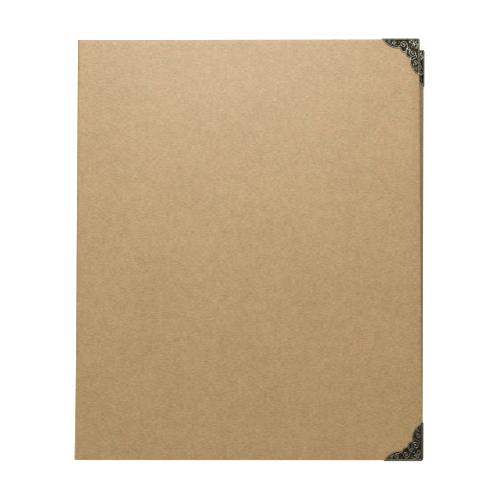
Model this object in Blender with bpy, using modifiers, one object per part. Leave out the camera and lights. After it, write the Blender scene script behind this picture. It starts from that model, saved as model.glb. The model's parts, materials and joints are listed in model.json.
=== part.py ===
"""Kraft scrapbook album: a case-bound cover on three ring pairs, with black card leaves.

Frame: +X from the spine to the fore-edge, +Y from the tail to the head, +Z up, with the
album lying closed on its back cover.  The origin is under the middle of the whole album.
Lengths are metres and angles are degrees unless a name says otherwise.
"""
import math

import bmesh
import bpy
from mathutils import Matrix, Vector

MM = 0.001

# ---- driving dimensions -------------------------------------------------------------------
COVER_WIDTH = 225.0 * MM        # spine fold to fore-edge
COVER_HEIGHT = 275.3 * MM       # tail to head
ALBUM_THICKNESS = 35.0 * MM     # over the corner guards
SPINE_LEAN = 5.2 * MM           # the front cover sits this far towards the spine side
COVER_SKEW = 0.57               # the front cover is racked this much about +Z

PAPER = 0.3 * MM                # kraft wrap and black liner
BOARD = 2.0 * MM                # grey board
GLUE = 0.1 * MM                 # gap between glued layers
PANEL = 2 * PAPER + 2 * GLUE + BOARD
TURN_IN = 6.0 * MM              # wrap folded over the inner face
RUNNING_GAP = 0.3 * MM
HINGE_GAP = 2.2 * MM            # a board stops this far from the fold line

GUARD_METAL = 0.4 * MM
GUARD_LEG = 25.0 * MM
# One leg's inner edge, from the tip on the cover's edge to the cusp on the diagonal, as
# distances along and in from the guard's outer corner.
GUARD_LOBE = (13.2 * MM, 6.7 * MM)
GUARD_CUSP = (9.9 * MM, 9.9 * MM)
GUARD_NICK = (9.2 * MM, 9.2 * MM)
LOBE_RISE = 2.2 * MM
SMALL_LOBE_RISE = 0.7 * MM
NICK_WIDTH = 0.5 * MM

SPINE_FOLD = PANEL / 2          # radius of the paper fold about each hinge line
GUARD_STAND = GLUE + GUARD_METAL
BACK_Z = GUARD_STAND + PANEL / 2
FRONT_Z = ALBUM_THICKNESS - BACK_Z
SPINE_LENGTH = math.hypot(FRONT_Z - BACK_Z, SPINE_LEAN)
SPINE_TILT = math.degrees(math.atan2(SPINE_LEAN, FRONT_Z - BACK_Z))
INNER_FLOOR = BACK_Z + PANEL / 2

# The whole album's box is centred on the origin in X and Y.
SKEW_RISE = math.sin(math.radians(COVER_SKEW))
PANEL_REACH = COVER_WIDTH - SPINE_FOLD
BOX_RIGHT = PANEL_REACH + GUARD_STAND
BOX_LEFT = -SPINE_LEAN - SPINE_FOLD - SKEW_RISE * COVER_HEIGHT / 2
BOX_HEAD = COVER_HEIGHT / 2 + GUARD_STAND + SKEW_RISE * PANEL_REACH
BOX_TAIL = -COVER_HEIGHT / 2 - GUARD_STAND
BACK_HINGE = Vector((-(BOX_RIGHT + BOX_LEFT) / 2, -(BOX_HEAD + BOX_TAIL) / 2, BACK_Z))
FRONT_HINGE = BACK_HINGE + Vector((-SPINE_LEAN, 0, FRONT_Z - BACK_Z))

# Ring mechanism
RING_OFFSET = 18.0 * MM         # ring centre from the back hinge line
RING_CENTRE = Vector((BACK_HINGE.x + RING_OFFSET, BACK_HINGE.y, 16.3 * MM))
RING_RADIUS = 11.8 * MM
WIRE_RADIUS = 1.5 * MM
RING_SPACING = 108.0 * MM
PLATE_LENGTH = 240.0 * MM
PLATE_HALF = 11.0 * MM
PLATE_METAL = 0.8 * MM
PLATE_BASE = INNER_FLOOR + RUNNING_GAP
PLATE_WALL = 2.8 * MM
PLATE_HEIGHT = 5.6 * MM
PLATE_LIP = 1.8 * MM
BLADE_METAL = 0.8 * MM
BLADE_LENGTH = 224.0 * MM
BLADE_TILT = 4.5
BLADE_PIVOT_X = PLATE_HALF - PLATE_METAL - RUNNING_GAP
BLADE_PIVOT_Z = PLATE_BASE + PLATE_METAL + RUNNING_GAP + BLADE_METAL / 2 + 0.1 * MM
FOOT_X = 7.6 * MM               # where a ring's foot goes down through its blade
FOOT_END = 4.5 * MM
RING_END_ANGLE = -42.0          # the round part of a half-ring ends here, seen from the tail
SLOT_INNER = 5.4 * MM           # the crown is slotted outwards from here, for the rings
SLOT_HALF = 2.4 * MM
SLOT_FLOOR = PLATE_BASE + PLATE_METAL + RUNNING_GAP
CROWN = PLATE_BASE + PLATE_HEIGHT
RIVET_SPACING = 140.0 * MM
RIVET_SHANK = 2.0 * MM
RIVET_HEAD = 3.8 * MM
RIVET_DOME = 0.8 * MM
RIVET_EDGE = 0.3 * MM
RIVET_HOLE = RIVET_SHANK + RUNNING_GAP
NOTCH_RADIUS = RIVET_SHANK + 1.2 * MM
LEVER_PIVOT_Y = PLATE_LENGTH / 2 - 1.5 * MM
LEVER_PIVOT_Z = PLATE_BASE + 2.2 * MM
LEVER_HALF = 4.5 * MM
LEVER_METAL = 1.2 * MM
# The lever's side view from its nose inside the plate to its tip, about its pivot.
LEVER_SIDE = [(-3.5 * MM, -0.4 * MM), (1.5 * MM, -0.4 * MM), (5.0 * MM, 1.4 * MM),
              (11.0 * MM, 4.6 * MM), (12.4 * MM, 4.9 * MM)]

# Leaves
LEAF_COUNT = 16
LEAF_WIDTH = 200.0 * MM
LEAF_HEIGHT = 254.0 * MM
LEAF_CARD = 0.4 * MM
LEAF_PITCH = 0.7 * MM
LEAF_TILT = 1.8                 # the stack slopes down from the plate to the back cover
LEAF_FLOOR = 10.5 * MM          # underside of the lowest leaf at its bound edge
HOLE_RADIUS = 3.75 * MM
HOLE_OFFSET = 1.2 * MM          # hole centre outside the wire's centre line
HOLE_MARGIN = 11.2 * MM         # bound edge to hole centre

WELD = 0.02 * MM

# ---- scene ----------------------------------------------------------------------------------
for leftover in list(bpy.data.objects):
    bpy.data.objects.remove(leftover, do_unlink=True)


def new_collection(name):
    collection = bpy.data.collections.new(name)
    bpy.context.scene.collection.children.link(collection)
    return collection


ALBUM = new_collection("scrapbook_album")
CUTTERS = new_collection("cutters")


def new_material(name, colour, roughness, metallic=0.0):
    material = bpy.data.materials.new(name)
    material.use_nodes = True
    shader = material.node_tree.nodes["Principled BSDF"]
    shader.inputs["Base Color"].default_value = (*colour, 1.0)
    shader.inputs["Roughness"].default_value = roughness
    shader.inputs["Metallic"].default_value = metallic
    return material


KRAFT = new_material("kraft_paper", (0.48, 0.34, 0.19), 0.85)
GREY_BOARD = new_material("grey_board", (0.35, 0.34, 0.31), 0.9)
BLACK_LINER = new_material("black_liner", (0.02, 0.02, 0.02), 0.8)
BLACK_CARD = new_material("black_card", (0.025, 0.025, 0.025), 0.85)
BRONZE = new_material("antique_bronze", (0.16, 0.14, 0.08), 0.4, 1.0)
STEEL = new_material("plated_steel", (0.62, 0.62, 0.62), 0.25, 1.0)


# ---- modelling helpers ------------------------------------------------------------------------
def add_object(name, data, material=None, parent=None, collection=ALBUM):
    thing = bpy.data.objects.new(name, data)
    collection.objects.link(thing)
    thing.parent = parent
    if material:
        data.materials.append(material)
    return thing


def add_empty(name, location, turn_y=0.0, turn_z=0.0):
    """A hinge line's empty; the pieces that turn about that line are its children."""
    empty = add_object(name, None)
    empty.location = location
    empty.rotation_euler = (0, math.radians(turn_y), math.radians(turn_z))
    return empty


def box_mesh(name, low, high):
    low, high = Vector(low), Vector(high)
    bm = bmesh.new()
    size = Matrix.Diagonal((*(high - low), 1))
    bmesh.ops.create_cube(bm, size=1.0, matrix=Matrix.Translation((low + high) / 2) @ size)
    mesh = bpy.data.meshes.new(name)
    bm.to_mesh(mesh)
    bm.free()
    return mesh


def rod_mesh(name, radius, half_length, segments=16, centre=(0, 0, 0)):
    """An upright round bar, for drilling holes."""
    bm = bmesh.new()
    bmesh.ops.create_cone(bm, cap_ends=True, segments=segments, radius1=radius, radius2=radius,
                          depth=2 * half_length, matrix=Matrix.Translation(centre))
    mesh = bpy.data.meshes.new(name)
    bm.to_mesh(mesh)
    bm.free()
    return mesh


def cut(target, mesh, parent=None, location=(0, 0, 0)):
    """Cut a hole or pocket in target with a hidden cutter."""
    cutter = add_object(mesh.name, mesh, parent=parent, collection=CUTTERS)
    cutter.location = location
    cutter.hide_render = True
    cutter.display_type = "WIRE"
    step = target.modifiers.new(mesh.name, "BOOLEAN")
    step.operation = "DIFFERENCE"
    step.solver = "EXACT"
    step.object = cutter


def evaluated_mesh(thing):
    """The finished mesh of an object, with its loose caps welded."""
    bpy.context.view_layer.update()
    graph = bpy.context.evaluated_depsgraph_get()
    mesh = bpy.data.meshes.new_from_object(thing.evaluated_get(graph))
    bm = bmesh.new()
    bm.from_mesh(mesh)
    bmesh.ops.remove_doubles(bm, verts=bm.verts, dist=WELD)
    bmesh.ops.recalc_face_normals(bm, faces=bm.faces)
    bm.to_mesh(mesh)
    bm.free()
    return mesh


def flat_outline_mesh(name, points, thickness):
    """A plate of the outline's shape, centred on z = 0."""
    curve = bpy.data.curves.new(name, "CURVE")
    curve.dimensions = "2D"
    curve.fill_mode = "BOTH"
    curve.extrude = thickness / 2
    spline = curve.splines.new("POLY")
    spline.points.add(len(points) - 1)
    for point, (x, y) in zip(spline.points, points):
        point.co = (x, y, 0, 1)
    spline.use_cyclic_u = True
    thing = add_object(name, curve)
    mesh = evaluated_mesh(thing)
    bpy.data.objects.remove(thing)
    return mesh


def wire_mesh(name, points, radius):
    """A round wire along the points, with closed ends."""
    curve = bpy.data.curves.new(name, "CURVE")
    curve.dimensions = "3D"
    curve.bevel_depth = radius
    curve.bevel_resolution = 2
    curve.use_fill_caps = True
    spline = curve.splines.new("POLY")
    spline.points.add(len(points) - 1)
    for point, position in zip(spline.points, points):
        point.co = (*position, 1)
    thing = add_object(name, curve)
    mesh = evaluated_mesh(thing)
    bpy.data.objects.remove(thing)
    return mesh


def bent_sheet(name, profile, sweep, thickness, material, parent=None):
    """A sheet whose cross-section is the profile, swept along a vector and thickened inwards."""
    bm = bmesh.new()
    line = [bm.verts.new(point) for point in profile]
    edges = [bm.edges.new(pair) for pair in zip(line, line[1:])]
    swept = bmesh.ops.extrude_edge_only(bm, edges=edges)["geom"]
    moved = [item for item in swept if isinstance(item, bmesh.types.BMVert)]
    bmesh.ops.translate(bm, verts=moved, vec=sweep)
    mesh = bpy.data.meshes.new(name)
    bm.to_mesh(mesh)
    bm.free()
    thing = add_object(name, mesh, material, parent)
    wall = thing.modifiers.new("wall", "SOLIDIFY")
    wall.thickness = thickness
    wall.offset = -1
    wall.use_even_offset = True
    return thing


def arc_points(centre, radius, start, end, steps):
    """Points on a circle between two angles in degrees."""
    turns = [math.radians(start + (end - start) * i / steps) for i in range(steps + 1)]
    return [(centre[0] + radius * math.cos(t), centre[1] + radius * math.sin(t)) for t in turns]


def bulged(start, end, rise, steps):
    """Points from start towards end on an arc that stands rise to the left of the chord."""
    start, end = Vector(start), Vector(end)
    chord = end - start
    left = Vector((-chord.y, chord.x)).normalized()
    radius = (chord.length ** 2 / 4 + rise ** 2) / (2 * rise)
    centre = (start + end) / 2 - left * (radius - rise)
    spread = 2 * math.asin(chord.length / 2 / radius)
    first = start - centre
    turn = [spread * i / steps for i in range(steps)]
    return [tuple(centre + Matrix.Rotation(-t, 2) @ first) for t in turn]


# ---- case panels ------------------------------------------------------------------------------
def panel(prefix, parent, length, outer, fore_edge):
    """Board, wrap and liner of one case panel, built along +X from its hinge line.

    outer is +1 or -1, the side of z = 0 that the kraft wrap faces.  fore_edge is true where
    the wrap also turns over the end, and false where both ends are hinged.
    """
    half = COVER_HEIGHT / 2
    start = HINGE_GAP
    end = length if fore_edge else length - HINGE_GAP
    end_wall = PAPER if fore_edge else 0.0
    end_turn = TURN_IN if fore_edge else 0.0
    past_end = 0.0 if fore_edge else 1 * MM

    def slab(name, x0, x1, y, za, zb):
        z0, z1 = sorted((za * outer, zb * outer))
        return box_mesh(name, (x0, -y, z0), (x1, y, z1))

    board_end = end - end_wall - (GLUE if fore_edge else 0)
    board = slab(prefix + "_board", start, board_end, half - PAPER - GLUE, -BOARD / 2, BOARD / 2)
    board = add_object(prefix + "_board", board, GREY_BOARD, parent)

    face = PANEL / 2
    wrap = slab(prefix + "_wrap", start, end, half, -face, face)
    wrap = add_object(prefix + "_wrap", wrap, KRAFT, parent)
    pocket = slab(prefix + "_wrap_pocket", start - MM, end - end_wall + past_end, half - PAPER,
                  -face + PAPER, face - PAPER)
    cut(wrap, pocket, parent)
    window = slab(prefix + "_wrap_window", start - MM, end - end_turn + past_end, half - TURN_IN,
                  -face - MM, -face + PAPER + GLUE)
    cut(wrap, window, parent)

    liner_end = end - end_turn - (RUNNING_GAP if fore_edge else 0)
    liner = slab(prefix + "_liner", start, liner_end, half - TURN_IN - RUNNING_GAP,
                 -face, -face + PAPER)
    liner = add_object(prefix + "_liner", liner, BLACK_LINER, parent)
    return board, wrap, liner


def joint_strip(name, parent, start, end, material):
    """A strip rolled round its parent's hinge line, between two angles seen from the tail."""
    arc = arc_points((0, 0), SPINE_FOLD, start, end, 8)
    profile = [(x, -COVER_HEIGHT / 2, z) for x, z in arc]
    return bent_sheet(name, profile, (0, COVER_HEIGHT, 0), PAPER, material, parent)


back_cover = add_empty("back_cover", BACK_HINGE)
front_hinge = add_empty("front_hinge", FRONT_HINGE, turn_z=COVER_SKEW)
# The spine panel is built along +X like the covers, then stands up with its own empty.
back_hinge = add_empty("back_hinge", BACK_HINGE, turn_y=-90 - SPINE_TILT)
front_fold = add_empty("front_fold", (0, 0, 0))
front_fold.parent = back_hinge
lean = math.radians(SPINE_TILT)
up_in_spine = Vector((math.cos(lean), 0, -math.sin(lean)))
front_fold.matrix_basis = (Matrix.Translation((SPINE_LENGTH, 0, 0))
                           @ Matrix.Rotation(math.radians(COVER_SKEW), 4, up_in_spine))

panel("front", front_hinge, PANEL_REACH, 1, True)
back_board, back_wrap, back_liner = panel("back", back_cover, PANEL_REACH, -1, True)
panel("spine", back_hinge, SPINE_LENGTH, 1, False)

joint_strip("back_joint_outer", back_hinge, 90, 180 - SPINE_TILT, KRAFT)
joint_strip("back_joint_inner", back_hinge, -90, -SPINE_TILT, BLACK_LINER)
joint_strip("front_joint_outer", front_fold, -SPINE_TILT, 90, KRAFT)
joint_strip("front_joint_inner", front_fold, -180 - SPINE_TILT, -90, BLACK_LINER)


# ---- corner guards ----------------------------------------------------------------------------
def guard_outline():
    """The stamped outline, with the corner at the origin and the legs along -X and -Y."""
    tip = (GUARD_LEG, 0.0)
    cusp = (GUARD_CUSP[0] + NICK_WIDTH / 2, GUARD_CUSP[1] - NICK_WIDTH / 2)
    leg = bulged(tip, GUARD_LOBE, -LOBE_RISE, 8) + bulged(GUARD_LOBE, cusp, -SMALL_LOBE_RISE, 3)
    leg.append(cusp)
    mirrored = [(v, u) for u, v in reversed(leg)]
    outline = [(0.0, 0.0)] + leg + [GUARD_NICK] + mirrored
    return [(-u, -v) for u, v in outline]


def corner_guard(name, parent, head):
    """A stamped guard folded over a fore-edge corner; head is +1 or -1 for the end it is on."""
    height = PANEL + 2 * GUARD_STAND
    mesh = flat_outline_mesh(name, guard_outline(), height)
    corner = Vector((PANEL_REACH + GUARD_STAND, head * (COVER_HEIGHT / 2 + GUARD_STAND), 0))
    mesh.transform(Matrix.Translation(corner) @ Matrix.Diagonal((1, head, 1, 1)))
    if head < 0:
        mesh.flip_normals()
    guard = add_object(name, mesh, BRONZE, parent)
    wall = GUARD_METAL
    inner = corner - Vector((wall, head * wall, 0))
    reach = GUARD_LEG + MM
    ys = sorted((inner.y, inner.y - head * reach))
    half = PANEL / 2 + GLUE
    pocket = box_mesh(name + "_pocket", (inner.x - reach, ys[0], -half), (inner.x, ys[1], half))
    cut(guard, pocket, parent)


for cover, parent in (("front", front_hinge), ("back", back_cover)):
    corner_guard(cover + "_guard_head", parent, 1)
    corner_guard(cover + "_guard_tail", parent, -1)

# ---- ring mechanism -------------------------------------------------------------------------
RING_ROWS = {"tail": -RING_SPACING, "middle": 0.0, "head": RING_SPACING}
SIDES = {"left": -1, "right": 1}


def plate_profile():
    """The housing's outside line in XZ about the ring centre's X: lip, wall, crown, wall, lip."""
    crown = PLATE_HEIGHT - PLATE_WALL
    radius = (PLATE_HALF ** 2 + crown ** 2) / (2 * crown)
    spread = math.degrees(math.asin(PLATE_HALF / radius))
    centre = (0, PLATE_BASE + PLATE_HEIGHT - radius)
    arch = arc_points(centre, radius, 90 + spread, 90 - spread, 12)
    lip = PLATE_HALF - PLATE_LIP
    return ([(-lip, PLATE_BASE), (-PLATE_HALF, PLATE_BASE)] + arch
            + [(PLATE_HALF, PLATE_BASE), (lip, PLATE_BASE)])


tail_end = BACK_HINGE.y - PLATE_LENGTH / 2
profile = [(RING_CENTRE.x + x, tail_end, z) for x, z in reversed(plate_profile())]
ring_plate = bent_sheet("ring_plate", profile, (0, PLATE_LENGTH, 0), PLATE_METAL, STEEL)

for row, y in RING_ROWS.items():
    for side, sign in SIDES.items():
        xs = sorted((RING_CENTRE.x + sign * SLOT_INNER, RING_CENTRE.x + sign * (PLATE_HALF + MM)))
        low = (xs[0], BACK_HINGE.y + y - SLOT_HALF, SLOT_FLOOR)
        high = (xs[1], BACK_HINGE.y + y + SLOT_HALF, PLATE_BASE + PLATE_HEIGHT + MM)
        cut(ring_plate, box_mesh(f"ring_slot_{side}_{row}", low, high))

ENDS = {"tail": -1, "head": 1}
for end, sign in ENDS.items():
    rivet_y = BACK_HINGE.y + sign * RIVET_SPACING / 2
    for target in (ring_plate, back_board, back_wrap, back_liner):
        hole = rod_mesh(f"{target.name}_rivet_hole_{end}", RIVET_HOLE, ALBUM_THICKNESS)
        cut(target, hole, location=(RING_CENTRE.x, rivet_y, 0))


def rivet(name, y):
    """A riveted post: domed head on the plate's crown, clinched flange under the back cover."""
    head = CROWN + GLUE
    rim = RIVET_HEAD - RIVET_EDGE
    outline = [(0, head + RIVET_DOME), (0.7 * rim, head + 0.8 * RIVET_DOME), (rim, head + RIVET_EDGE),
               (RIVET_HEAD, head), (RIVET_SHANK, head), (RIVET_SHANK, GUARD_METAL),
               (RIVET_HEAD, GUARD_METAL), (RIVET_HEAD, RIVET_EDGE / 2), (rim, 0), (0, 0)]
    mesh = bpy.data.meshes.new(name)
    mesh.from_pydata([(r, 0, z) for r, z in outline], [(i, i + 1) for i in range(len(outline) - 1)], [])
    turned = add_object(name, mesh, STEEL)
    turned.location = (RING_CENTRE.x, y, 0)
    spin = turned.modifiers.new("turn", "SCREW")
    spin.steps = spin.render_steps = 20
    spin.use_merge_vertices = True
    spin.merge_threshold = 0.00005


for end, sign in ENDS.items():
    rivet(f"rivet_{end}", BACK_HINGE.y + sign * RIVET_SPACING / 2)


def half_ring_points(sign, y):
    """Wire centre line in the album's frame, from the tips over the top down into the blade."""
    start = math.degrees(math.acos(RUNNING_GAP / 2 / RING_RADIUS))
    arc = arc_points((0, RING_CENTRE.z), RING_RADIUS, start, RING_END_ANGLE, 12)
    bend = [(FOOT_X + 0.6 * MM, FOOT_END + 3.2 * MM), (FOOT_X + 0.15 * MM, FOOT_END + 2.4 * MM)]
    foot = [(FOOT_X, FOOT_END + WIRE_RADIUS), (FOOT_X, FOOT_END)]
    return [(RING_CENTRE.x + sign * x, y, z) for x, z in arc + bend + foot]


for side, sign in SIDES.items():
    pivot = Vector((RING_CENTRE.x + sign * BLADE_PIVOT_X, BACK_HINGE.y, BLADE_PIVOT_Z))
    hinge = add_empty(f"{side}_ring_hinge", pivot)
    xs = sorted((0, -sign * (BLADE_PIVOT_X - RUNNING_GAP)))
    low = (xs[0], -BLADE_LENGTH / 2, -BLADE_METAL / 2)
    high = (xs[1], BLADE_LENGTH / 2, BLADE_METAL / 2)
    blade = add_object(f"blade_{side}", box_mesh(f"blade_{side}", low, high), STEEL, hinge)
    blade.rotation_euler = (0, math.radians(-sign * BLADE_TILT), 0)
    for row, y in RING_ROWS.items():
        foot_hole = rod_mesh(f"foot_hole_{side}_{row}", WIRE_RADIUS + RUNNING_GAP, PLATE_HEIGHT)
        foot = (RING_CENTRE.x + sign * FOOT_X, BACK_HINGE.y + y, BLADE_PIVOT_Z)
        cut(blade, foot_hole, location=foot)
        points = half_ring_points(sign, BACK_HINGE.y + y)
        ring = wire_mesh(f"ring_{side}_{row}", points, WIRE_RADIUS)
        ring.transform(Matrix.Translation(-pivot))
        ring = add_object(f"ring_{side}_{row}", ring, STEEL, hinge)
    for end, along in ENDS.items():
        notch = rod_mesh(f"rivet_notch_{side}_{end}", NOTCH_RADIUS, PLATE_HEIGHT)
        rivet_y = BACK_HINGE.y + along * RIVET_SPACING / 2
        cut(blade, notch, location=(RING_CENTRE.x, rivet_y, BLADE_PIVOT_Z))

for end, sign in ENDS.items():
    pivot = (RING_CENTRE.x, BACK_HINGE.y + sign * LEVER_PIVOT_Y, LEVER_PIVOT_Z)
    hinge = add_empty(f"lever_{end}_hinge", pivot)
    profile = [(-LEVER_HALF, sign * y, z) for y, z in LEVER_SIDE]
    if sign < 0:
        profile.reverse()
    bent_sheet(f"lever_{end}", profile, (2 * LEVER_HALF, 0, 0), LEVER_METAL, STEEL, hinge)


# ---- leaves ---------------------------------------------------------------------------------
def punched_leaf():
    """One sheet of card with three holes; the middle hole's centre is at the origin."""
    low = (-HOLE_MARGIN, -LEAF_HEIGHT / 2, -LEAF_CARD / 2)
    high = (LEAF_WIDTH - HOLE_MARGIN, LEAF_HEIGHT / 2, LEAF_CARD / 2)
    sheet = add_object("leaf", box_mesh("leaf", low, high), BLACK_CARD)
    for row, y in RING_ROWS.items():
        cut(sheet, rod_mesh(f"punch_{row}", HOLE_RADIUS, LEAF_CARD, 12, centre=(0, y, 0)))
    mesh = evaluated_mesh(sheet)
    bpy.data.objects.remove(sheet)
    return mesh


leaf_mesh = punched_leaf()
leaf_mesh.name = "punched_leaf"
slope = math.tan(math.radians(LEAF_TILT))
for number in range(LEAF_COUNT):
    # The hole follows the ring's curve, which the leaf meets at hole_z.
    bound_z = LEAF_FLOOR + LEAF_CARD / 2 + number * LEAF_PITCH
    hole_z = bound_z - HOLE_MARGIN * slope
    wire_x = math.sqrt(RING_RADIUS ** 2 - (hole_z - RING_CENTRE.z) ** 2)
    name = f"leaf_{number + 1:02d}"
    hinge = add_empty(name + "_hinge", RING_CENTRE)
    leaf = add_object(name, leaf_mesh, None, hinge)
    leaf.location = (wire_x + HOLE_OFFSET, 0, hole_z - RING_CENTRE.z)
    leaf.rotation_euler = (0, math.radians(LEAF_TILT), 0)
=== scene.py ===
"""Looks of a kraft scrapbook album: folded paper wrap, stamped corner guards, rings and card leaves."""
import json
import math

import bpy
import bmesh
import numpy as np
from mathutils import Euler, Matrix, Vector


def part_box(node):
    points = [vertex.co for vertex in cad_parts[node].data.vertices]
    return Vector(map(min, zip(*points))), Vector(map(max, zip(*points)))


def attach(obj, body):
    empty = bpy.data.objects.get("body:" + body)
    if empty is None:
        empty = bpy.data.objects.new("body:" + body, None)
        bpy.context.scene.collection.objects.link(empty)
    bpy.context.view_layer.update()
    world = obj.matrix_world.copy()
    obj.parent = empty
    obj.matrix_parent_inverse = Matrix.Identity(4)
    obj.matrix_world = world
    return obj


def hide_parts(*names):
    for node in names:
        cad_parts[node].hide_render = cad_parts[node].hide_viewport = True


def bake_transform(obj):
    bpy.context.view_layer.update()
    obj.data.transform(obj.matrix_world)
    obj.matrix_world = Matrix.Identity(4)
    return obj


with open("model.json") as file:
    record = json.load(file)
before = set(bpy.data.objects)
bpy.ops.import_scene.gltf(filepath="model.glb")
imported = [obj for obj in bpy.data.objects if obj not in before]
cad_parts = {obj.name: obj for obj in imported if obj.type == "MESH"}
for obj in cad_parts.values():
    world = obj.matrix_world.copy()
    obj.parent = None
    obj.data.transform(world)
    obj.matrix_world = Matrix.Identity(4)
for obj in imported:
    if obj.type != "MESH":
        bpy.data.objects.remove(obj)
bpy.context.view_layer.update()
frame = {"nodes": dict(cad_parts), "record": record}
bpy.ops.object.select_all(action="DESELECT")

# ---- Camera and lights ------------------------------------------------------------------------
# The album lies on its back on a white table, seen from almost straight above.  One soft panel
# stands close on the head side, and a larger, weaker one farther off on the tail side.
MM = 0.001
EYE = Vector((5.6, -44.5, 1032.5)) * MM
EYE_TURN = (3.3968, 0.4733, 0.5553)

camera_data = bpy.data.cameras.new("camera")
camera_data.lens = 110.11
camera_data.sensor_width = 36.0
camera_data.shift_x = 0.0065
camera_data.shift_y = -0.0487
camera_data.clip_end = 20.0
camera = bpy.data.objects.new("camera", camera_data)
bpy.context.scene.collection.objects.link(camera)
camera.location = EYE
camera.rotation_euler = Euler([math.radians(angle) for angle in EYE_TURN])
bpy.context.scene.camera = camera
bpy.context.scene.view_settings.view_transform = "Standard"


def soft_panel(name, place, size, power):
    """A square studio panel at place, facing the album."""
    lamp = bpy.data.lights.new(name, "AREA")
    lamp.shape = "SQUARE"
    lamp.size = size
    lamp.energy = power
    panel = bpy.data.objects.new(name, lamp)
    bpy.context.scene.collection.objects.link(panel)
    panel.location = place
    panel.rotation_euler = (-Vector(place)).to_track_quat("-Z", "Y").to_euler()


soft_panel("head_panel", (-0.04, 0.37, 0.75), size=0.40, power=4.5)
soft_panel("fill_panel", (-0.35, -0.7, 1.3), size=0.9, power=1.5)

world = bpy.data.worlds.new("studio")
world.use_nodes = True
world.node_tree.nodes["Background"].inputs["Color"].default_value = (1.0, 1.0, 1.0, 1.0)
world.node_tree.nodes["Background"].inputs["Strength"].default_value = 0.37
bpy.context.scene.world = world


# ---- Table top ----------------------------------------------------------------------------------
# A matt white table that glows a little by itself, so that it stays white around the album.
TABLE_DROP = 0.05 * MM          # keeps its face just clear of the album's underside


class Socket:
    """A shader output that works in sums; each operator adds its Math node to the tree."""

    def __init__(self, finish, output):
        self.finish = finish
        self.output = output

    def step(self, operation, left, right):
        return self.finish.node("ShaderNodeMath", {"operation": operation}, {0: left, 1: right})

    def __add__(self, other):
        return self.step("ADD", self, other)

    def __radd__(self, other):
        return self.step("ADD", other, self)

    def __sub__(self, other):
        return self.step("SUBTRACT", self, other)

    def __rsub__(self, other):
        return self.step("SUBTRACT", other, self)

    def __mul__(self, other):
        return self.step("MULTIPLY", self, other)

    def __rmul__(self, other):
        return self.step("MULTIPLY", other, self)


class Finish:
    """One material: a Principled shader and the nodes that feed it."""

    def __init__(self, name, **sockets):
        self.material = bpy.data.materials.new(name)
        self.material.use_nodes = True
        self.tree = self.material.node_tree
        self.shader = self.tree.nodes["Principled BSDF"]
        self.feed(self.shader, {key.replace("_", " "): value for key, value in sockets.items()})

    def feed(self, node, sockets):
        """Sets each socket of the node to its value, or links it."""
        for key, value in sockets.items():
            socket = node.inputs[key]
            if isinstance(value, Socket):
                self.tree.links.new(value.output, socket)
            elif socket.type == "RGBA":
                socket.default_value = (*value, 1.0)
            else:
                socket.default_value = value

    def node(self, kind, settings=None, sockets=None, output=0):
        """Adds a node of this kind; a ramp's stops come as (place, colour)."""
        made = self.tree.nodes.new(kind)
        for key, value in (settings or {}).items():
            if key != "stops":
                setattr(made, key, value)
                continue
            ramp = made.color_ramp
            while len(ramp.elements) < len(value):
                ramp.elements.new(0.5)
            for element, (place, tone) in zip(ramp.elements, value):
                element.position = place
                element.color = (*tone, 1.0)
        self.feed(made, sockets or {})
        return Socket(self, made.outputs[output])

    def mix(self, factor, first, second, blend="MIX"):
        return self.node("ShaderNodeMix", {"data_type": "RGBA", "blend_type": blend},
                         {0: factor, 6: first, 7: second}, output=2)

    def place(self, stretch=(1.0, 1.0, 1.0), on_sheet=False):
        """Pattern coordinates in millimetres: the album's own, or those of the unfolded sheet."""
        source = self.node("ShaderNodeTexCoord", output=2 if on_sheet else 3)
        return self.node("ShaderNodeMapping", {},
                         {"Vector": source, "Scale": tuple(s / MM for s in stretch)})

    def noise(self, vector, scale, detail=2.0, roughness=0.5):
        return self.node("ShaderNodeTexNoise", {},
                         {"Vector": vector, "Scale": scale, "Detail": detail, "Roughness": roughness})

    def between(self, value, low, high, to_low=0.0, to_high=1.0):
        return self.node("ShaderNodeMapRange", {"interpolation_type": "SMOOTHSTEP"},
                         {0: value, 1: low, 2: high, 3: to_low, 4: to_high})

    def bump(self, height, depth, strength):
        """Fine surface relief: height in 0 to 1, depth in millimetres."""
        relief = self.node("ShaderNodeBump", {},
                           {"Height": height, "Strength": strength, "Distance": depth * MM})
        self.feed(self.shader, {"Normal": relief})


def paint(thing, finish):
    thing.data.materials.clear()
    thing.data.materials.append(finish.material)


white_table = Finish("white_table", Base_Color=(0.85, 0.85, 0.85), Roughness=0.9,
                     Emission_Color=(1.0, 1.0, 1.0), Emission_Strength=0.85)
bpy.ops.mesh.primitive_plane_add(size=8.0, location=(0, 0, -TABLE_DROP))
table = bpy.context.active_object
table.name = "table_top"
paint(table, white_table)

# ---- Kraft wrap -------------------------------------------------------------------------------
# Brown kraft paper 0.3 mm thick, glued over the boards and turned in 6 mm on the inside.  One
# piece goes from the spine over the front cover, the other under the back cover; both fold round
# the hinge lines.
PAPER = 0.3 * MM
PANEL = 2.8 * MM                # a covered board's thickness
FOLD = PANEL / 2                # radius at which the paper goes round a hinge line
COVER_REACH = 223.6 * MM        # hinge line to fore-edge
COVER_HALF = 137.65 * MM        # half the cover's height
TURN_IN = 6.0 * MM
EDGE_ROUND = 0.45 * MM
BEND_START = 0.5 * MM           # last line of flat paper beside a hinge line
BEND_REACH = 4.0 * MM           # the lines stand close together up to here
TWIST_REACH = 2.6 * MM          # the spine's paper takes up the skew within this distance
ROOM_SHARE = 0.8                # how much of the room beside a fold the paper may fill
SKEW = math.radians(0.57)       # the front cover sits slightly turned on its hinge

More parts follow.
